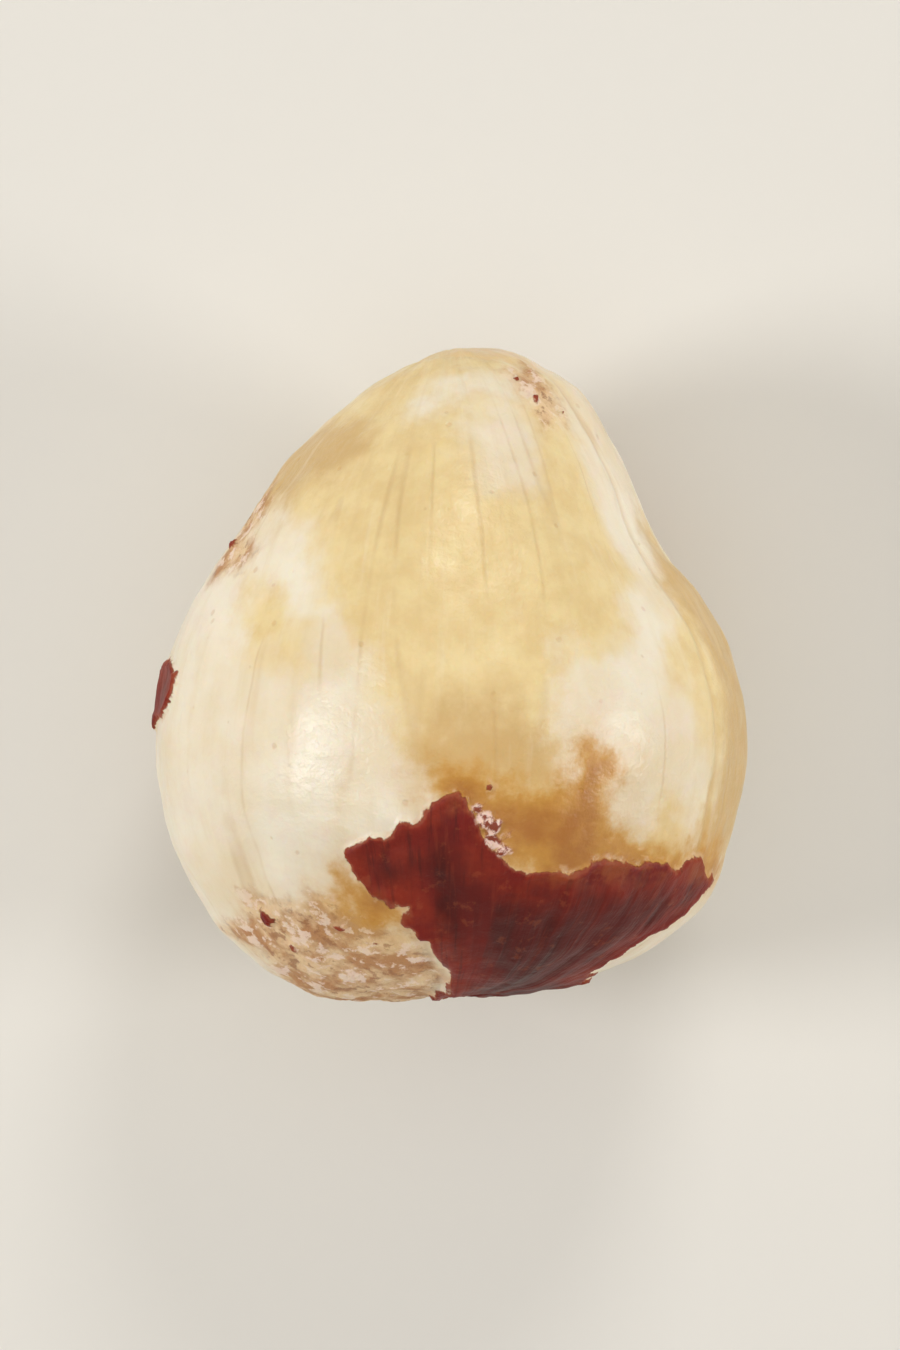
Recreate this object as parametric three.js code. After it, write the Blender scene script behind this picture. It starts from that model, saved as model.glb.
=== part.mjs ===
// A shelled, blanched hazelnut kernel, lying on its side.
//
// Millimetres. +Y runs along the growth axis from the broad base to the narrow tip, +Z is up,
// and z = 0 is the surface that the kernel lies on. The origin is below the middle of the kernel.
// The kernel grew as one piece, so it is one solid: oval rings strung along the growth axis,
// with soft lengthwise ribs, a few swellings and flats, and a small flat spot underneath.

import * as THREE from 'three';
import { mergeVertices } from 'three/addons/utils/BufferGeometryUtils.js';

// Driving dimensions
const WIDTH = 14.0;
const LENGTH = 15.5;
const THICKNESS = 13.0;

// The outline seen from above, clockwise from the tip, as shares of the half width and half length
const OUTLINE = [
  [0.11, 1.0],
  [0.4, 0.89],
  [0.58, 0.65],
  [0.7, 0.42],
  [0.88, 0.19],
  [0.99, -0.11],
  [0.97, -0.4],
  [0.85, -0.7],
  [0.5, -0.9],
  [0.1, -0.99],
  [-0.34, -1.0],
  [-0.7, -0.84],
  [-0.92, -0.55],
  [-1.0, -0.19],
  [-0.9, 0.18],
  [-0.63, 0.55],
  [-0.37, 0.81],
  [-0.14, 0.96],
];

// Seen from the side the kernel is a plain egg, and this is how much it tapers to the tip
const EGG_TAPER = 0.15;
// The slice of the belly that is pressed flat where the kernel rests
const REST_DEPTH = 0.3;

// Soft ribs that run from base to tip
const RIB_COUNT = 6;
const RIB_HEIGHT = 0.07;
const RIB_TURN = THREE.MathUtils.degToRad(57);

// Swellings and flats: the direction each one faces from the middle, how far it spreads in radians,
// and how far it stands out, or lies in where negative, in millimetres
const RELIEF = [
  { name: 'crown swelling', towards: [0.1, -0.2, 1], spread: 0.6, height: 0.15 },
  { name: 'left flat', towards: [-0.7, 0.35, 0.75], spread: 0.4, height: -0.16 },
  { name: 'right flat', towards: [0.75, 0.4, 0.6], spread: 0.35, height: -0.2 },
  { name: 'right swelling', towards: [0.85, -0.3, 0.45], spread: 0.4, height: 0.1 },
  { name: 'base scar', towards: [-0.05, -1, 0.05], spread: 0.28, height: -0.2 },
  { name: 'belly flat', towards: [-0.6, 0.3, -0.8], spread: 0.45, height: -0.15 },
  { name: 'belly swelling', towards: [0.65, -0.3, -0.7], spread: 0.4, height: 0.1 },
];

// Fineness of the surface
const SEGMENTS_AROUND = 84;
const RINGS = 46;

const outline = new THREE.CatmullRomCurve3(
  OUTLINE.map(([across, along]) => new THREE.Vector3((across * WIDTH) / 2, (along * LENGTH) / 2, 0)),
  true,
  'centripetal',
);
outline.arcLengthDivisions = 3000;
const tipAlong = outline.getPointAt(0).y;
const baseAlong = outline.getPointAt(0.5).y;

// The point of the kernel at a share of the way from tip to base, and an angle around the growth axis.
// Each ring is an oval between the two sides of the outline, and as thick as the egg is there.
function ringPoint(share, angle) {
  const right = outline.getPointAt(share / 2);
  const left = outline.getPointAt(1 - share / 2);
  const point = right.clone().add(left).multiplyScalar(0.5);
  const along = THREE.MathUtils.mapLinear(point.y, baseAlong, tipAlong, -1, 1);
  const fullness = Math.sqrt(Math.max(1 - along * along, 0));
  const halfThickness = (THICKNESS / 2) * fullness * (1 - EGG_TAPER * along);
  const rib = RIB_HEIGHT * fullness ** 2 * Math.cos(RIB_COUNT * (angle - RIB_TURN));
  point.addScaledVector(right.clone().sub(left), Math.cos(angle) / 2);
  point.x += rib * Math.cos(angle);
  point.z += (halfThickness + rib) * Math.sin(angle);
  return point;
}

// Moves a point in or out by the swellings and flats that face its way.
function addRelief(point) {
  const facing = point.clone().normalize();
  for (const { towards, spread, height } of RELIEF) {
    const away = facing.angleTo(new THREE.Vector3(...towards)) / spread;
    point.addScaledVector(facing, height * Math.exp(-away * away));
  }
}

// Brings the geometry to its exact size, centred over the origin, with its lowest point at z = 0.
function fitToSize(geometry) {
  geometry.computeBoundingBox();
  const size = geometry.boundingBox.getSize(new THREE.Vector3());
  const middle = geometry.boundingBox.getCenter(new THREE.Vector3());
  geometry.translate(-middle.x, -middle.y, -geometry.boundingBox.min.z);
  geometry.scale(WIDTH / size.x, LENGTH / size.y, THICKNESS / size.z);
}

function makeKernelGeometry() {
  const geometry = new THREE.SphereGeometry(1, SEGMENTS_AROUND, RINGS);
  const vertices = geometry.attributes.position;
  const restHeight = REST_DEPTH - THICKNESS / 2;
  const onSphere = new THREE.Vector3();
  for (let i = 0; i < vertices.count; i += 1) {
    onSphere.fromBufferAttribute(vertices, i);
    const share = Math.acos(THREE.MathUtils.clamp(onSphere.y, -1, 1)) / Math.PI;
    const point = ringPoint(share, Math.atan2(onSphere.z, onSphere.x));
    addRelief(point);
    vertices.setXYZ(i, point.x, point.y, Math.max(point.z, restHeight));
  }
  geometry.deleteAttribute('normal');
  geometry.deleteAttribute('uv');
  fitToSize(geometry);
  const merged = mergeVertices(geometry, 1e-4);
  merged.computeVertexNormals();
  return merged;
}

const kernelMaterial = new THREE.MeshStandardMaterial({ color: 0xe8d2a4, roughness: 0.5, metalness: 0 });

const kernel = new THREE.Mesh(makeKernelGeometry(), kernelMaterial);
kernel.name = 'kernel';

const hazelnut = new THREE.Group();
hazelnut.add(kernel);

export default hazelnut;
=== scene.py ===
"""The looks of a shelled, blanched hazelnut kernel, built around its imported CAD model.

The kernel lies on its side: +Y is the growth axis, from the broad base to the narrow tip, and +Z is
up. Its skin was rubbed off unevenly, so cream flesh, a golden film, amber thin skin, scuffed spots
and torn flakes of red-brown skin show side by side. Shapes are worked out in millimetres and
written to the meshes in metres.
"""

import math

import bmesh
import bpy
import numpy as np
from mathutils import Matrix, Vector, noise
from mathutils.bvhtree import BVHTree


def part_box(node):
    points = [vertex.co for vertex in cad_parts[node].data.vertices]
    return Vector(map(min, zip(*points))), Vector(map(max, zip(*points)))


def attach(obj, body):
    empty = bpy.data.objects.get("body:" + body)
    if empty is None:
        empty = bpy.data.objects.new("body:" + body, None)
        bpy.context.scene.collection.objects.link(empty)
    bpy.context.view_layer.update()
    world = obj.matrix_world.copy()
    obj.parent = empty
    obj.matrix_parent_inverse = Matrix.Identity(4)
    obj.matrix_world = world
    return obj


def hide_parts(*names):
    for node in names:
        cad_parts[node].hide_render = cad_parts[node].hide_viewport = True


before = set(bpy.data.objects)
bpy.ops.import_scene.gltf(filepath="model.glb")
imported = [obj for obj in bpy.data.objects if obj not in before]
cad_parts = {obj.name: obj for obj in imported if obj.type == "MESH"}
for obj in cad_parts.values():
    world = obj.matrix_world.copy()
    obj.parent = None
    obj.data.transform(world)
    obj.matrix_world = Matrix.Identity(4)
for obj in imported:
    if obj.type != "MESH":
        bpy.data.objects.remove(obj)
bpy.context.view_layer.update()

MM = 0.001
NODE = "kernel"

# The mesh: a cube of square grids blown up to the kernel's form
GRID = 128
SMOOTHING_ROUNDS = 14

box_low, box_high = (np.array(corner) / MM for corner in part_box(NODE))
SIZE = box_high - box_low
CENTRE = (box_low + box_high) / 2
MEAN_RADIUS = SIZE.mean() / 2

TOP, UNDER = 1, -1


# ---------------------------------------------------------------- the form

def cube_grid(divisions):
    """Points of a cube's six faces, spread out over a sphere, and the quads that join them."""
    places, points, quads = {}, [], []
    steps = np.tan(np.linspace(-math.pi / 4, math.pi / 4, divisions + 1))
    for axis in range(3):
        for side in (-1, 1):
            ids = np.empty((divisions + 1, divisions + 1), int)
            for i, u in enumerate(steps):
                for j, v in enumerate(steps):
                    point = [0.0, 0.0, 0.0]
                    point[axis], point[(axis + 1) % 3], point[(axis + 2) % 3] = side, u, v
                    key = tuple(round(c, 6) for c in point)
                    if key not in places:
                        places[key] = len(points)
                        points.append(point)
                    ids[i, j] = places[key]
            for i in range(divisions):
                for j in range(divisions):
                    quad = [ids[i, j], ids[i + 1, j], ids[i + 1, j + 1], ids[i, j + 1]]
                    quads.append(quad if side > 0 else quad[::-1])
    points = np.array(points)
    return points / np.linalg.norm(points, axis=1, keepdims=True), quads


cad_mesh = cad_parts[NODE].data
cad_points = [v.co / MM for v in cad_mesh.vertices]
cad_surface = BVHTree.FromPolygons(cad_points, [list(p.vertices) for p in cad_mesh.polygons])


def blow_up(directions):
    """Where each direction from the kernel's middle meets the CAD surface."""
    stretched = directions * SIZE
    stretched /= np.linalg.norm(stretched, axis=1, keepdims=True)
    middle = Vector(CENTRE)
    hits = [cad_surface.ray_cast(middle, Vector(d))[0] for d in stretched]
    return np.array(hits)


def make_mesh(points, quads):
    mesh = bpy.data.meshes.new(NODE + "_surface")
    mesh.from_pydata([tuple(p) for p in points * MM], [], quads)
    return mesh


def smooth(mesh, rounds):
    """Evens out the CAD facets, leaving the form as it is."""
    shape = bmesh.new()
    shape.from_mesh(mesh)
    for _ in range(rounds):
        bmesh.ops.smooth_vert(
            shape, verts=shape.verts, factor=0.5, use_axis_x=True, use_axis_y=True, use_axis_z=True
        )
    shape.to_mesh(mesh)
    shape.free()


def points_of(mesh):
    flat = np.empty(len(mesh.vertices) * 3)
    mesh.vertices.foreach_get("co", flat)
    return flat.reshape(-1, 3) / MM


def normals_of(mesh):
    flat = np.empty(len(mesh.vertices) * 3, np.float32)
    mesh.vertex_normals.foreach_get("vector", flat)
    return flat.reshape(-1, 3).astype(float)


# ---------------------------------------------------------------- fields over the surface

def fractal(points, wavelength, octaves):
    """Smooth noise from about -1 to 1, at a wavelength in the points' unit."""
    return np.array([noise.fractal(p, 1.0, 2.0, octaves) for p in (points / wavelength).tolist()])


def smoothstep(low, high, value):
    share = np.clip((value - low) / (high - low), 0, 1)
    return share * share * (3 - 2 * share)


def towards(points):
    directions = points - CENTRE
    return directions / np.linalg.norm(directions, axis=1, keepdims=True)


def lengthwise(points, stretch):
    """Coordinates in which noise runs in streaks from base to tip."""
    across = points - CENTRE
    along = across[:, 1].copy()
    across[:, 1] = 0
    across *= MEAN_RADIUS / np.maximum(np.linalg.norm(across, axis=1, keepdims=True), 0.3)
    across[:, 1] = along / stretch
    return across


def drop(x, y, side):
    """The surface's point above or below a place in plan, or the nearest one past the outline."""
    start = Vector((x, y, CENTRE[2] + side * SIZE[2]))
    hit = cad_surface.ray_cast(start, Vector((0, 0, -side)))[0]
    return np.array(hit or cad_surface.find_nearest(Vector((x, y, CENTRE[2])))[0])


def flat_map(directions, facing):
    """Lays directions out flat, in millimetres, around the facing one."""
    right = np.cross([0.0, 0.0, 1.0] if abs(facing[2]) < 0.9 else [0.0, 1.0, 0.0], facing)
    right /= np.linalg.norm(right)
    up = np.cross(facing, right)
    angle = np.arccos(np.clip(directions @ facing, -1, 1))
    bearing = np.stack([directions @ right, directions @ up], axis=1)
    bearing /= np.maximum(np.linalg.norm(bearing, axis=1, keepdims=True), 1e-9)
    return bearing * angle[:, None] * MEAN_RADIUS


def patch_depth(points, outline):
    """How far inside a patch each point lies, in millimetres, negative outside.
    The outline is a list of places in plan, each on the top or the underside."""
    corners = towards(np.array([drop(*place) for place in outline]))
    facing = corners.mean(axis=0)
    facing /= np.linalg.norm(facing)
    corner_map = flat_map(corners, facing)
    point_map = flat_map(towards(points), facing)
    nearest = np.full(len(points), np.inf)
    inside = np.zeros(len(points), bool)
    for a, b in zip(corner_map, np.roll(corner_map, -1, axis=0)):
        edge = b - a
        offset = point_map - a
        share = np.clip(offset @ edge / (edge @ edge), 0, 1)
        nearest = np.minimum(nearest, np.linalg.norm(offset - share[:, None] * edge, axis=1))
        crosses = (a[1] > point_map[:, 1]) != (b[1] > point_map[:, 1])
        at = a[0] + (point_map[:, 1] - a[1]) * edge[0] / (edge[1] if edge[1] else 1e-9)
        inside ^= crosses & (point_map[:, 0] < at)
    return np.where(inside, nearest, -nearest)


def disc_depth(points, place, radius):
    """As patch_depth, for a round patch."""
    middle = drop(*place)
    return radius - np.linalg.norm(points - middle, axis=1)


# Torn red-brown skin, still on the kernel
SKIN_PATCHES = [
    [  # the large patch over the edge of the base
        (-2.3, -4.0, TOP), (-1.85, -3.6, TOP), (-1.5, -3.7, TOP), (-1.1, -3.3, TOP),
        (-0.8, -3.4, TOP), (-0.45, -2.85, TOP), (0.15, -2.7, TOP), (0.6, -3.4, TOP),
        (1.25, -4.3, TOP), (2.2, -4.55, TOP), (3.3, -4.3, TOP), (4.6, -4.25, TOP),
        (5.8, -4.3, TOP), (6.1, -4.8, TOP), (5.35, -5.6, TOP), (4.35, -6.2, TOP), (3.4, -6.8, TOP),
        (3.0, -6.7, UNDER), (1.7, -6.2, UNDER), (0.9, -5.5, UNDER), (-0.2, -6.2, UNDER),
        (-0.3, -7.6, TOP), (-0.05, -6.9, TOP), (-0.6, -6.2, TOP), (-1.2, -5.75, TOP),
        (-1.0, -5.3, TOP), (-1.7, -5.1, TOP), (-2.3, -4.75, TOP),
    ],
    [  # a flake on the left flank
        (-6.5, 0.45, TOP), (-6.3, 0.1, TOP), (-6.4, -0.4, TOP), (-6.55, -0.9, TOP),
        (-6.6, -1.3, UNDER), (-6.75, -0.7, UNDER), (-6.5, -0.3, UNDER), (-6.7, 0.1, UNDER),
    ],
    [  # a remnant on the belly, towards the tip
        (2.3, 4.4, UNDER), (3.2, 3.4, UNDER), (3.4, 2.2, UNDER), (2.4, 2.3, UNDER),
        (1.9, 3.0, UNDER), (1.1, 3.2, UNDER), (1.3, 4.1, UNDER),
    ],
    [  # a long sliver on the belly, towards the base
        (-4.9, -1.4, UNDER), (-4.2, -2.4, UNDER), (-4.0, -3.9, UNDER), (-4.7, -4.3, UNDER),
        (-5.0, -3.0, UNDER),
    ],
]
# Flecks of skin, with their radii: by the scuffed spot, near the tip and on the belly
SKIN_FLECKS = [
    ((-4.25, -5.65, TOP), 0.22), ((-2.55, -5.85, TOP), 0.1), ((-2.9, -6.75, TOP), 0.09),
    ((-1.75, -6.2, TOP), 0.08), ((-3.6, -6.3, TOP), 0.06), ((-5.1, 3.05, TOP), 0.1),
    ((0.95, -2.55, TOP), 0.05), ((1.55, 6.85, TOP), 0.05), ((1.95, 6.4, TOP), 0.06),
    ((2.6, 6.1, TOP), 0.05), ((5.0, -3.5, UNDER), 0.25), ((4.4, -4.2, UNDER), 0.12),
    ((-1.2, 5.9, UNDER), 0.2),
]
# Crumpled shreds of skin that show their pale inner side
SHREDS = [
    ((0.6, -3.0, TOP), 0.15), ((0.75, -3.3, TOP), 0.18), ((1.05, -3.45, TOP), 0.15),
    ((0.95, -3.75, TOP), 0.17), ((1.25, -3.95, TOP), 0.17), ((1.3, -3.65, TOP), 0.11),
]
# The golden film that covers most of the flesh, with painted highlights and painted shade in its
# outline
# Its cream gaps beside the middle, on the upper right shoulder and down from the tip are painted
# highlights
FILMS_WITH_PAINTED_LIGHT = [
    [  # over the top, from the tip down to the amber spot
        (-0.6, 7.6, TOP), (-2.7, 6.2, TOP), (-4.4, 4.7, TOP), (-4.8, 3.9, TOP), (-3.5, 3.3, TOP),
        (-3.0, 1.6, TOP), (-2.1, 0.5, TOP), (-1.8, -0.9, TOP), (-0.7, -1.9, TOP), (0.4, -3.2, TOP),
        (2.4, -3.2, TOP), (2.4, -1.5, TOP), (2.5, -0.4, TOP), (3.0, 0.6, TOP), (4.0, 1.1, TOP),
        (4.3, 2.3, TOP), (3.3, 4.3, TOP), (2.6, 6.0, TOP), (2.0, 6.3, TOP), (1.9, 4.2, TOP),
        (0.7, 4.0, TOP), (0.4, 6.3, TOP), (-0.6, 6.2, TOP), (-0.2, 6.9, TOP), (2.4, 6.8, TOP),
        (1.6, 7.4, TOP),
    ],
    [(-4.8, 2.0, TOP), (-4.0, 2.2, TOP), (-3.2, 1.2, TOP), (-3.6, 0.2, TOP), (-4.6, 0.6, TOP)],
    [  # along the right edge: painted shade
        (4.6, 3.7, TOP), (5.0, 2.0, TOP), (5.1, 0.4, TOP), (5.8, -1.2, TOP), (5.6, -4.6, TOP),
        (5.0, -2.6, TOP), (4.4, -3.6, TOP), (4.3, -4.8, TOP), (6.6, -4.4, UNDER),
        (6.9, -1.4, UNDER), (6.2, 2.2, UNDER),
    ],
    [  # over the belly
        (5.6, 1.4, UNDER), (4.9, 3.0, UNDER), (2.6, 5.9, UNDER), (0.4, 6.6, UNDER),
        (-2.2, 4.6, UNDER), (-3.8, 1.5, UNDER), (-3.4, -1.6, UNDER), (-1.8, -3.9, UNDER),
        (0.4, -4.6, UNDER), (2.6, -3.6, UNDER), (5.2, -1.4, UNDER),
    ],
]
# Film that is thicker and browner, and the same darker gold as painted shade on the left shoulder
# and along the right edge
BROWN_FILMS_AND_SHADE = [
    [  # the left shoulder: painted shade
        (-4.3, 4.5, TOP), (-3.8, 5.3, TOP), (-2.8, 6.2, TOP), (-1.9, 5.6, TOP), (-2.6, 4.6, TOP),
        (-3.3, 4.3, TOP), (-3.9, 3.4, TOP), (-4.2, 3.9, TOP),
    ],
    [  # the right edge: painted shade
        (4.5, 3.5, TOP), (4.9, 2.1, TOP), (6.0, 0.2, TOP), (6.1, -2.6, TOP), (5.7, -4.2, TOP),
        (6.4, -3.8, UNDER), (6.8, -1.0, UNDER), (6.2, 1.8, UNDER),
    ],
    [  # above the amber spot
        (-0.6, -0.9, TOP), (0.4, -0.4, TOP), (1.6, -0.9, TOP), (2.6, -1.6, TOP), (2.4, -2.6, TOP),
        (0.2, -2.6, TOP), (-0.8, -2.6, TOP),
    ],
    [
        (3.8, 2.4, UNDER), (4.6, 0.6, UNDER), (3.4, -1.2, UNDER), (2.0, 0.4, UNDER),
        (2.6, 1.8, UNDER),
    ],
]
# Skin that is rubbed so thin that the flesh shows through
THIN_SKINS = [
    [  # the amber spot above the large patch
        (-0.5, -2.6, TOP), (-0.1, -1.9, TOP), (0.7, -2.0, TOP), (1.4, -2.5, TOP), (2.2, -2.6, TOP),
        (2.7, -2.1, TOP), (2.8, -1.65, TOP), (3.3, -1.45, TOP), (3.8, -1.9, TOP),
        (3.75, -2.9, TOP), (3.9, -3.6, TOP), (4.6, -3.85, TOP), (5.4, -3.95, TOP),
        (5.4, -4.7, TOP), (2.2, -5.0, TOP), (1.0, -4.2, TOP), (0.0, -3.4, TOP),
    ],
    [  # the outer points of the large patch
        (-2.7, -4.6, TOP), (-2.2, -4.4, TOP), (-1.3, -4.7, TOP), (-0.8, -5.7, TOP),
        (-1.5, -5.8, TOP), (-2.4, -5.6, TOP),
    ],
    [(5.4, -4.1, TOP), (6.3, -3.9, TOP), (6.5, -4.6, TOP), (5.9, -5.2, TOP), (5.2, -5.0, TOP)],
    [  # around the remnant on the belly
        (3.9, 3.3, UNDER), (4.1, 1.6, UNDER), (2.9, 0.7, UNDER), (1.9, 1.9, UNDER),
        (1.2, 2.8, UNDER), (2.6, 3.9, UNDER),
    ],
]
# Flesh that was scuffed
SCUFFS = [
    [  # beside the large patch
        (-4.6, -5.2, TOP), (-3.6, -5.3, TOP), (-2.6, -5.1, TOP), (-1.6, -5.4, TOP),
        (-0.9, -6.0, TOP), (-0.2, -6.9, TOP), (-0.4, -7.5, TOP), (-1.6, -7.3, UNDER),
        (-3.2, -7.0, UNDER), (-4.2, -6.7, TOP), (-5.2, -6.0, TOP),
    ],
    [  # the left shoulder
        (-5.6, 2.2, TOP), (-5.4, 2.8, TOP), (-5.0, 3.3, TOP), (-4.7, 3.9, TOP), (-4.1, 4.5, TOP),
        (-4.3, 3.7, TOP), (-4.6, 3.3, TOP), (-4.6, 2.8, TOP), (-5.1, 2.5, TOP),
    ],
    [  # beside the tip
        (1.4, 7.0, TOP), (1.9, 7.1, TOP), (2.5, 6.5, TOP), (2.6, 5.9, TOP), (2.2, 5.9, TOP),
        (1.8, 6.5, TOP),
    ],
]
BASE_SCAR = ((-0.7, -7.75, TOP), 1.7)
TIP_CAP = ((0.8, 7.75, TOP), 1.5)

# The seam between the two seed leaves: its turn around the growth axis, above the right flank
SEAM_TURN = math.radians(25)


def deepest(*parts):
    """The union of patches: the deepest of their depths."""
    return np.maximum.reduce(parts)


def patches_depth(points, outlines):
    return deepest(*[patch_depth(points, outline) for outline in outlines])


def discs_depth(points, discs):
    return deepest(*[disc_depth(points, place, radius) for place, radius in discs])


def surface_fields(points):
    """The fields that the relief and the material share: each is how far inside its patches a
    point lies, in millimetres, roughened by noise. The seam's is minus the distance to it."""
    torn = 0.28 * fractal(points, 1.1, 5) + 0.1 * fractal(lengthwise(points, 5.0), 0.5, 3)
    soft = 0.6 * fractal(points + 40, 2.0, 5)
    fine = 0.14 * fractal(points + 70, 0.35, 3)
    seam_normal = np.array([-math.sin(SEAM_TURN), 0, math.cos(SEAM_TURN)])
    seam_offset = (points - CENTRE) @ seam_normal + 0.18 * fractal(points + 20, 2.5, 3)
    return {
        "skin": deepest(
            patches_depth(points, SKIN_PATCHES) + torn,
            discs_depth(points, SKIN_FLECKS) + fine,
        ),
        "shred": discs_depth(points, SHREDS) + fine,
        # the film: its gaps hold painted highlights, its band along the right edge is painted shade
        "film": patches_depth(points, FILMS_WITH_PAINTED_LIGHT) + soft,
        # browner film, and painted shade on the left shoulder and along the right edge
        "browner_film_and_shade": patches_depth(points, BROWN_FILMS_AND_SHADE) + soft,
        "thin_skin": patches_depth(points, THIN_SKINS) + 0.8 * torn,
        "scuff": patches_depth(points, SCUFFS) + torn,
        "scar": disc_depth(points, *BASE_SCAR) + torn,
        "cap": disc_depth(points, *TIP_CAP) + torn,
        "seam": -np.abs(seam_offset),
    }


# ---------------------------------------------------------------- relief

def bell(value, centre, width):
    return np.exp(-(((value - centre) / width) ** 2))


def wrinkles(points, wavelength, stretch, octaves):
    """Sharp creases that run from base to tip, 0 between them and -1 at their bottom."""
    waves = fractal(lengthwise(points, stretch), wavelength, octaves)
    return np.clip(np.abs(waves) / 0.25, 0, 1) - 1


def relief_height(points, fields):
    """How far the fine surface stands out from the form, in millimetres."""
    along = (points[:, 1] - CENTRE[1]) / (SIZE[1] / 2)
    near_base = smoothstep(-0.45, -0.9, along)
    near_tip = smoothstep(0.5, 0.95, along)
    swells = 0.11 * fractal(points + 11, 3.2, 3)
    ripples = 0.03 * fractal(points + 31, 1.1, 3)
    streaks = 0.015 * fractal(lengthwise(points + 5, 6.0), 0.9, 3)
    crease_depth = 0.012 + 0.05 * near_base + 0.03 * near_tip
    creases = crease_depth * wrinkles(points, 2.6, 3.0, 2)
    seam_groove = 0.05 * bell(fields["seam"], 0, 0.16) * (1 - near_base)
    flesh = swells + ripples + streaks + creases - seam_groove
    return flesh + patch_height(points, fields) + skin_height(points, fields)


def patch_height(points, fields):
    """How far the film and the marks on the flesh stand out, in millimetres."""
    film = 0.02 * smoothstep(-0.3, 0.5, fields["film"])
    cap_groove = 0.035 * bell(fields["cap"], 0, 0.18)
    scar = smoothstep(-0.2, 0.5, fields["scar"]) * (0.05 * fractal(points + 3, 0.5, 4) - 0.05)
    scar_groove = 0.06 * bell(fields["scar"], 0, 0.2)
    scuff = smoothstep(-0.2, 0.4, fields["scuff"]) * (0.05 * fractal(points + 3, 0.7, 4) - 0.025)
    return film - cap_groove + scar - scar_groove + scuff


def skin_height(points, fields):
    """How far the skin, its lifted edge and its shreds stand out from the flesh, in millimetres."""
    skin = smoothstep(-0.04, 0.08, fields["skin"])
    creases = 0.03 * fractal(lengthwise(points + 9, 4.0), 0.6, 4)
    waves = 0.06 * fractal(points + 15, 1.2, 3)
    lifted_edge = 0.045 * bell(fields["skin"], 0.1, 0.1)
    shred = smoothstep(-0.08, 0.12, fields["shred"])
    crumple = 0.1 + 0.08 * fractal(points + 8, 0.3, 3)
    return skin * (0.08 + creases + waves) + lifted_edge + shred * crumple


def store(mesh, name, kind, key, values):
    """Keeps a value or vector for each point in the mesh, for the material to read."""
    attribute = mesh.attributes.new(name, kind, "POINT")
    attribute.data.foreach_set(key, values.astype(np.float32).ravel())


def build_kernel():
    directions, quads = cube_grid(GRID)
    mesh = make_mesh(blow_up(directions), quads)
    smooth(mesh, SMOOTHING_ROUNDS)
    points = points_of(mesh)
    fields = surface_fields(points)
    growth = lengthwise(points, 8.0)
    # The relief fades out just above the floor, so that the flat spot stays flat
    above_floor = smoothstep(0.0, 0.5, points[:, 2])
    points += normals_of(mesh) * (relief_height(points, fields) * above_floor)[:, None]
    points[:, 2] = np.maximum(points[:, 2], 0)
    mesh.vertices.foreach_set("co", (points * MM).ravel())
    mesh.update()
    for name, values in fields.items():
        store(mesh, name, "FLOAT", "value", values)
    store(mesh, "growth", "FLOAT_VECTOR", "vector", growth)
    mesh.shade_smooth()
    kernel = bpy.data.objects.new(NODE + "_surface", mesh)
    bpy.context.scene.collection.objects.link(kernel)
    return kernel


# ---------------------------------------------------------------- material

class Graph:
    """A short way to write a node tree."""

    def __init__(self, material):
        self.tree = material.node_tree

    def node(self, kind, inputs=(), **settings):
        made = self.tree.nodes.new("ShaderNode" + kind)
        for name, value in settings.items():
            setattr(made, name, value)
        for key, value in dict(inputs).items():
            if isinstance(value, bpy.types.NodeSocket):
                self.tree.links.new(value, made.inputs[key])
            else:
                made.inputs[key].default_value = value
        return made

    def math(self, operation, *values):
        return self.node("Math", dict(enumerate(values)), operation=operation).outputs[0]

    def product(self, a, b):
        return self.math("MULTIPLY", a, b)

    def attribute(self, name, output="Fac"):
        return self.node("Attribute", attribute_name=name).outputs[output]

    def noise(self, vector, wavelength, detail=3.0, roughness=0.5):
        inputs = {"Vector": vector, "Scale": 1 / wavelength}
        inputs |= {"Detail": detail, "Roughness": roughness}
        return self.node("TexNoise", inputs).outputs["Fac"]

    def swing(self, noise_value, reach):
        """Turns noise from 0 to 1 into an offset from minus to plus the reach."""
        return self.math("MULTIPLY_ADD", noise_value, 2 * reach, -reach)

    def cells(self, vector, spacing):
        """The distance to the nearest of many scattered points, as a share of their spacing, and
        a random number for that point."""
        made = self.node("TexVoronoi", {"Vector": vector, "Scale": 1 / spacing})
        lottery = self.node("SeparateColor", {"Color": made.outputs["Color"]}).outputs[0]
        return made.outputs["Distance"], lottery

    def step(self, value, low, high, start=0.0, end=1.0):
        """Goes smoothly from start to end as the value goes from low to high."""
        inputs = {"Value": value, "From Min": low, "From Max": high, "To Min": start, "To Max": end}
        return self.node("MapRange", inputs, interpolation_type="SMOOTHSTEP").outputs[0]

    def mix(self, factor, a, b):
        return self.node("Mix", {0: factor, 6: a, 7: b}, data_type="RGBA").outputs[2]

    def tint(self, base, mask, share, shade):
        return self.mix(self.product(mask, share), base, shade)

    def blend(self, factor, a, b):
        return self.node("Mix", {0: factor, 2: a, 3: b}, data_type="FLOAT").outputs[0]

    def total(self, *values):
        result = values[0]
        for value in values[1:]:
            result = self.math("ADD", result, value)
        return result


def colour(red, green, blue):
    """A display colour from 0 to 255, as Blender's linear colour."""
    def linear(part):
        part /= 255
        return part / 12.92 if part <= 0.04045 else ((part + 0.055) / 1.055) ** 2.4
    return (linear(red), linear(green), linear(blue), 1.0)


# Flesh
CREAM = colour(241, 231, 210)
WARM_CREAM = colour(233, 216, 184)
PINK_CREAM = colour(238, 220, 202)
GOLD = colour(236, 214, 161)
DEEP_GOLD = colour(227, 200, 144)
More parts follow.
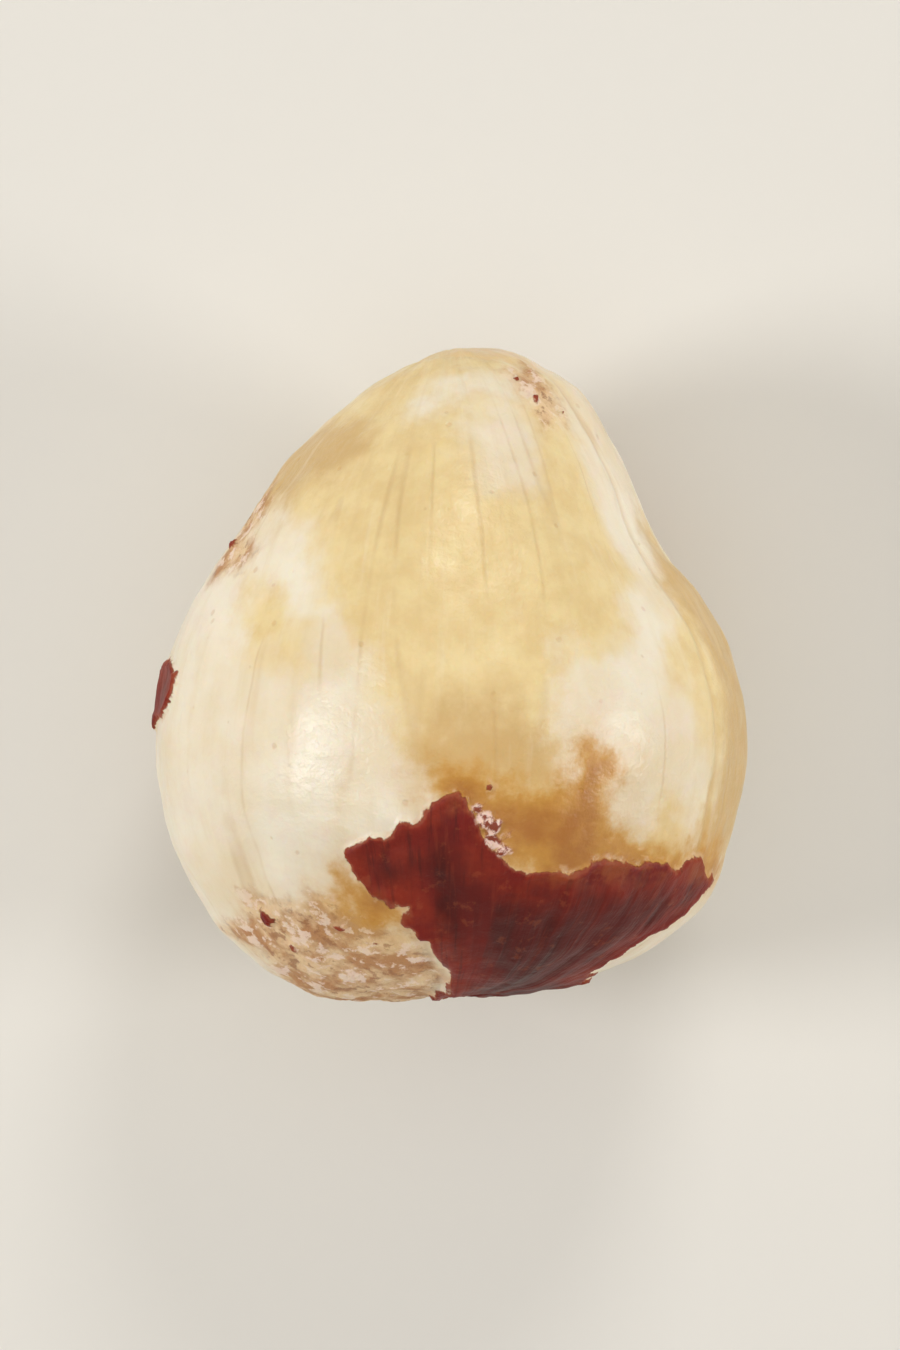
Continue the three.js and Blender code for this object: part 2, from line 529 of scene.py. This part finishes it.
# Browner film, also laid on as painted shade on the left shoulder and the right edge
BROWN_GOLD = colour(202, 164, 104)
DARK_STREAK = colour(212, 180, 128)
PALE_STREAK = colour(244, 232, 206)
VEIN = colour(196, 158, 106)
TIP_BLUSH = colour(232, 190, 142)
SEAM_LINE = colour(204, 168, 114)
# Painted glints: small pale dots in the gold
PAINTED_GLINT = colour(248, 232, 204)
PORE = colour(196, 146, 90)
BROWN_SPECK = colour(150, 82, 40)

# Scuffed flesh and the base's scar
SCUFF_PALE = colour(231, 199, 156)
SCUFF_BROWN = colour(186, 132, 84)
BRUISE = colour(154, 96, 58)
CHALK = colour(242, 217, 198)
SCAR_TAN = colour(200, 158, 112)

# Flesh beside and under the skin
HALO = colour(214, 172, 104)
AMBER = colour(205, 151, 66)
DEEP_AMBER = colour(171, 106, 36)
TORN_FLESH = colour(226, 190, 150)

# Skin
DARK_SKIN = colour(70, 8, 3)
RED_SKIN = colour(102, 16, 6)
BRIGHT_SKIN = colour(120, 20, 8)
RUSTY_SKIN = colour(138, 38, 14)
PALE_FIBRE = colour(142, 52, 28)
DARK_FIBRE = colour(54, 8, 4)
SKIN_CRUMB = colour(156, 76, 42)
WORN_SKIN = colour(150, 74, 34)
TORN_LINE = colour(164, 88, 52)
SHRED_PALE = colour(236, 204, 188)
SHRED_DARK = colour(138, 66, 46)

# The floor
PALE_FLOOR = colour(226, 222, 214)


class KernelLook:
    """The kernel's material, worked out from its fields and from noise in millimetres."""

    def __init__(self):
        self.material = bpy.data.materials.new("kernel_surface")
        self.material.use_nodes = True
        self.graph = graph = Graph(self.material)
        place = graph.node("TexCoord").outputs["Object"]
        in_mm = {0: place, "Scale": 1 / MM}
        self.place = graph.node("VectorMath", in_mm, operation="SCALE").outputs[0]
        self.growth = graph.attribute("growth", "Vector")
        self.ragged = graph.swing(graph.noise(self.place, 0.22), 0.09)
        self.feathered = graph.swing(graph.noise(self.place, 0.7, 5.0, 0.6), 0.8)
        self.streaks = graph.noise(self.growth, 0.6, 4.0, 0.55)
        self.fibres = graph.noise(self.growth, 0.2, 3.0, 0.6)
        self.clouds = graph.noise(self.place, 2.6, 4.0)
        self.mottle = graph.noise(self.place, 0.8, 4.0, 0.6)
        self.crumbs = graph.noise(self.place, 0.42, 5.0, 0.65)
        self.grain = graph.noise(self.place, 0.16, 3.0, 0.6)
        self.pores = self.dots(0.5, 0.6, 0.15, 0.05)
        self.specks = self.dots(1.5, 0.8, 0.06, 0.015)
        # Sparse pale dots: painted glints
        self.painted_glints = self.dots(2.2, 0.4, 0.1, 0.03)
        self.veins = self.thin_lines()
        self.fill_shader()

    def fill_shader(self):
        inputs = self.material.node_tree.nodes["Principled BSDF"].inputs
        links = self.material.node_tree.links
        links.new(self.base_colour(), inputs["Base Color"])
        links.new(self.roughness(), inputs["Roughness"])
        links.new(self.bump(), inputs["Normal"])
        inputs["Specular IOR Level"].default_value = 0.34
        inputs["Subsurface Weight"].default_value = 0.4
        inputs["Subsurface Radius"].default_value = (1.0, 0.6, 0.3)
        inputs["Subsurface Scale"].default_value = 0.5 * MM

    def mask(self, name, low, high, edge=None):
        """How much of a field's patch shows: 0 up to the low depth, 1 from the high depth."""
        depth = self.graph.attribute(name)
        if edge:
            depth = self.graph.total(depth, edge)
        return self.graph.step(depth, low, high)

    def dots(self, spacing, rarity, size, softness):
        """Scattered round dots of mixed sizes; the rarity is the share of them that is left out."""
        graph = self.graph
        distance, lottery = graph.cells(self.place, spacing)
        reach = graph.step(lottery, rarity, 1.0, -softness, size)
        return graph.step(graph.math("SUBTRACT", reach, distance), -softness, softness)

    def thin_lines(self):
        """Faint veins from base to tip, which fade in and out."""
        graph = self.graph
        waves = graph.noise(self.growth, 2.2, 1.0, 0.4)
        line = graph.step(graph.math("ABSOLUTE", graph.math("SUBTRACT", waves, 0.5)), 0.02, 0.0)
        return graph.product(line, graph.step(self.clouds, 0.4, 0.65))

    def base_colour(self):
        return self.under_skin(self.torn_edges(self.scuffed(self.flesh())))

    def flesh(self):
        graph = self.graph
        cloudy = graph.step(self.clouds, 0.35, 0.65)
        cream = graph.mix(cloudy, CREAM, WARM_CREAM)
        cream = graph.tint(cream, graph.step(self.mottle, 0.5, 0.7), 0.5, PINK_CREAM)
        mottled = graph.step(self.mottle, 0.3, 0.7)
        film = graph.mix(mottled, GOLD, DEEP_GOLD)
        # Cream shows in the film's gaps, some of them painted highlights; the film's band along the
        # right edge is painted shade
        flesh = graph.mix(self.mask("film", -0.7, 0.7, self.feathered), cream, film)
        # Darker brown gold: browner film, and painted shade on the left shoulder and along the
        # right edge
        browner_and_shaded = self.mask("browner_film_and_shade", -0.6, 0.7, self.feathered)
        flesh = graph.tint(flesh, browner_and_shaded, 0.72, BROWN_GOLD)
        flesh = graph.tint(flesh, graph.step(self.streaks, 0.5, 0.85), 0.3, DARK_STREAK)
        flesh = graph.tint(flesh, graph.step(self.streaks, 0.45, 0.2), 0.35, PALE_STREAK)
        flesh = graph.tint(flesh, self.veins, 0.3, VEIN)
        cap = self.mask("cap", -0.5, 0.5, self.ragged)
        flesh = graph.tint(flesh, cap, 0.35, TIP_BLUSH)
        flesh = graph.tint(flesh, self.mask("seam", -0.22, 0.0), 0.3, SEAM_LINE)
        # Painted glints: sparse pale dots
        flesh = graph.tint(flesh, self.painted_glints, 0.6, PAINTED_GLINT)
        flesh = graph.tint(flesh, self.pores, 0.25, PORE)
        return graph.tint(flesh, self.specks, 0.7, BROWN_SPECK)

    def scuffed(self, flesh):
        graph = self.graph
        mottled = graph.step(self.mottle, 0.38, 0.62)
        scuffed = graph.mix(mottled, SCUFF_PALE, SCUFF_BROWN)
        bruises = graph.step(self.crumbs, 0.44, 0.36)
        scuffed = graph.tint(scuffed, bruises, 0.7, BRUISE)
        chalk = graph.step(self.crumbs, 0.53, 0.6)
        scuffed = graph.tint(scuffed, chalk, 0.85, CHALK)
        scar = self.mask("scar", -0.2, 0.3, self.ragged)
        flesh = graph.tint(flesh, scar, 0.7, SCAR_TAN)
        return graph.tint(flesh, self.mask("scuff", -0.5, 0.4, self.feathered), 0.95, scuffed)

    def torn_edges(self, flesh):
        graph = self.graph
        halo = self.mask("thin_skin", -1.3, 0.3, self.feathered)
        flesh = graph.tint(flesh, halo, 0.45, HALO)
        depth = self.mask("thin_skin", 0.0, 1.1, self.feathered)
        amber = graph.mix(depth, AMBER, DEEP_AMBER)
        thin = self.mask("thin_skin", -0.3, 0.4, self.feathered)
        flesh = graph.tint(flesh, thin, 0.92, amber)
        beside = self.mask("skin", -0.16, -0.03, self.ragged)
        tear = graph.product(beside, graph.step(self.mottle, 0.5, 0.6))
        return graph.tint(flesh, tear, 0.5, TORN_FLESH)

    def under_skin(self, flesh):
        graph = self.graph
        skin = graph.mix(self.mask("skin", -0.015, 0.025, self.ragged), flesh, self.skin())
        shred = graph.step(self.grain, 0.42, 0.58)
        shred = graph.mix(shred, SHRED_PALE, SHRED_DARK)
        return graph.mix(self.mask("shred", -0.04, 0.06, self.ragged), skin, shred)

    def skin(self):
        graph = self.graph
        streaked = graph.step(self.streaks, 0.3, 0.75)
        dark = graph.mix(streaked, DARK_SKIN, RED_SKIN)
        mottled = graph.step(self.mottle, 0.35, 0.65)
        rim = graph.mix(mottled, BRIGHT_SKIN, RUSTY_SKIN)
        skin = graph.mix(self.mask("skin", 0.0, 1.35, self.feathered), rim, dark)
        skin = graph.tint(skin, graph.step(self.fibres, 0.55, 0.75), 0.4, PALE_FIBRE)
        skin = graph.tint(skin, graph.step(self.fibres, 0.46, 0.28), 0.5, DARK_FIBRE)
        skin = graph.tint(skin, graph.step(self.crumbs, 0.58, 0.66), 0.3, SKIN_CRUMB)
        thin = graph.product(self.mask("thin_skin", 0.1, 0.6), graph.step(self.mottle, 0.36, 0.56))
        skin = graph.tint(skin, thin, 0.7, WORN_SKIN)
        torn_line = self.mask("skin", 0.1, 0.03, self.ragged)
        return graph.tint(skin, torn_line, 0.45, TORN_LINE)

    def roughness(self):
        graph = self.graph
        flesh = graph.step(self.mottle, 0.3, 0.7, 0.28, 0.41)
        flesh = graph.blend(self.mask("scuff", -0.3, 0.3, self.ragged), flesh, 0.72)
        flesh = graph.blend(self.mask("scar", -0.2, 0.3), flesh, 0.65)
        skin = graph.step(self.streaks, 0.3, 0.7, 0.46, 0.62)
        return graph.blend(self.mask("skin", -0.015, 0.025, self.ragged), flesh, skin)

    def bump(self):
        """The finest relief, in millimetres."""
        graph = self.graph
        scuffed = self.mask("scuff", -0.3, 0.3, self.ragged)
        skin = self.mask("skin", -0.015, 0.025, self.ragged)
        grain = graph.product(self.grain, graph.math("MULTIPLY_ADD", scuffed, 0.05, 0.014))
        pores = graph.product(self.pores, -0.012)
        veins = graph.product(self.veins, -0.008)
        streaks = graph.product(self.streaks, graph.math("MULTIPLY_ADD", skin, 0.04, 0.02))
        fibres = graph.product(self.fibres, graph.math("MULTIPLY_ADD", skin, 0.022, 0.003))
        dimples = graph.product(self.mottle, 0.065)
        height = graph.total(grain, pores, veins, streaks, fibres, dimples)
        return graph.node("Bump", {"Height": height, "Distance": MM, "Strength": 1.0}).outputs[0]


# ---------------------------------------------------------------- stage, light and camera

def sweep_profile():
    """The floor's section, from the middle out: flat, then a quarter round, then a wall."""
    flat, wall, height, steps = 0.3, 0.55, 0.5, 24
    radius = wall - flat
    turns = np.linspace(0, math.pi / 2, steps)
    rise = [(flat + radius * math.sin(t), radius - radius * math.cos(t)) for t in turns]
    return [(0.0, 0.0)] + rise + [(wall, height)]


def turn_round(profile):
    """Spins a profile of radii and heights around the vertical axis."""
    shape = bmesh.new()
    chain = [shape.verts.new((r, 0, z)) for r, z in profile]
    edges = [shape.edges.new(pair) for pair in zip(chain, chain[1:])]
    bmesh.ops.spin(
        shape,
        geom=chain + edges,
        axis=(0, 0, 1),
        cent=(0, 0, 0),
        steps=96,
        angle=math.tau,
        use_merge=True,
    )
    bmesh.ops.remove_doubles(shape, verts=shape.verts, dist=1e-6)
    bmesh.ops.recalc_face_normals(shape, faces=shape.faces)
    mesh = bpy.data.meshes.new("floor")
    shape.to_mesh(mesh)
    shape.free()
    mesh.shade_smooth()
    return mesh


def build_stage():
    """A pale floor that sweeps up to a round wall."""
    mesh = turn_round(sweep_profile())
    floor = bpy.data.objects.new("floor", mesh)
    bpy.context.scene.collection.objects.link(floor)
    material = bpy.data.materials.new("floor")
    material.use_nodes = True
    shader = material.node_tree.nodes["Principled BSDF"]
    shader.inputs["Base Color"].default_value = PALE_FLOOR
    shader.inputs["Roughness"].default_value = 0.8
    mesh.materials.append(material)


def add_light(name, place, size, power):
    data = bpy.data.lights.new(name, "AREA")
    data.shape = "DISK"
    data.size = size
    data.energy = power
    light = bpy.data.objects.new(name, data)
    light.location = place
    to_kernel = Vector(CENTRE * MM) - Vector(place)
    light.rotation_euler = to_kernel.to_track_quat("-Z", "Y").to_euler()
    bpy.context.scene.collection.objects.link(light)


def build_lights():
    add_light("left softbox", (-0.24, -0.01, 0.2), 0.1, 0.39)
    add_light("right softbox", (0.27, -0.03, 0.14), 0.1, 0.3)
    add_light("back softbox", (0.06, 0.25, 0.2), 0.1, 0.26)
    add_light("overhead panel", (0.0, 0.0, 0.95), 1.1, 2.6)
    world = bpy.data.worlds.new("studio")
    world.use_nodes = True
    background = world.node_tree.nodes["Background"]
    background.inputs["Color"].default_value = (1.0, 1.0, 1.0, 1.0)
    background.inputs["Strength"].default_value = 0.16
    bpy.context.scene.world = world


def build_camera():
    """Looks straight down on the kernel, with its tip to the top of the picture."""
    data = bpy.data.cameras.new("camera")
    data.lens = 200
    data.sensor_width = 36
    data.clip_start = 0.01
    data.clip_end = 10
    camera = bpy.data.objects.new("camera", data)
    # The picture is 900 by 1350, so its width takes up the sensor's short side
    short_side = data.sensor_width * 900 / 1350
    share_of_width = 0.66
    frame_width = SIZE[0] * MM / share_of_width
    distance = frame_width * data.lens / short_side
    camera.location = (CENTRE[0] * MM, CENTRE[1] * MM, CENTRE[2] * MM + distance)
    bpy.context.scene.collection.objects.link(camera)
    bpy.context.scene.camera = camera


kernel = build_kernel()
kernel.data.materials.append(KernelLook().material)
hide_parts(NODE)
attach(kernel, "root")
build_stage()
build_lights()
build_camera()
bpy.context.scene.view_settings.view_transform = "Standard"
